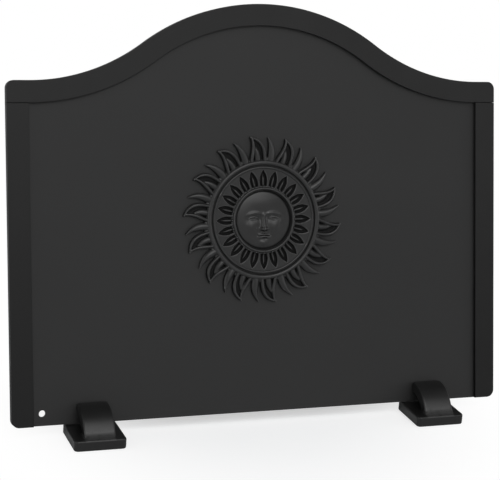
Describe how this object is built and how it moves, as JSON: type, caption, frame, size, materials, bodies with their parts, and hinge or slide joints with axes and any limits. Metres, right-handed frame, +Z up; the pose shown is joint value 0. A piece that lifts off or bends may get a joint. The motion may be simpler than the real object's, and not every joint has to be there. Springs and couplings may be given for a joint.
{
  "type": "fireback",
  "caption": "Arched black steel fireback edged with flat bar, with a cast sun-face medallion, leaning back on two cast hook feet that slide along its lower edge",
  "frame": {"origin": "On the hearth, under the middle of the overall width and depth.", "axes": "+X along the plate to the right as seen from the room, +Y from the room towards the wall, +Z up."},
  "size_m": [0.61, 0.162, 0.4853],
  "materials": {
    "plate": "matte",
    "bar": "satin",
    "casting": "satin",
    "screw": "satin"
  },
  "bodies": {
    "plate": {"back_plate": "plate", "top_rail": "bar", "left_stile": "bar", "right_stile": "bar", "sun_medallion": "casting", "medallion_screw_upper": "screw", "medallion_screw_lower": "screw"},
    "left_foot": {"left_foot": "casting"},
    "right_foot": {"right_foot": "casting"}
  },
  "joints": [
    {"name": "left_foot_slide", "type": "slide", "parent": "plate", "child": "left_foot", "axis": [1, 0, 0], "range_m": [-0.0495, 0.1805]},
    {"name": "right_foot_slide", "type": "slide", "parent": "plate", "child": "right_foot", "axis": [1, 0, 0], "range_m": [-0.1805, 0.0463]}
  ]
}
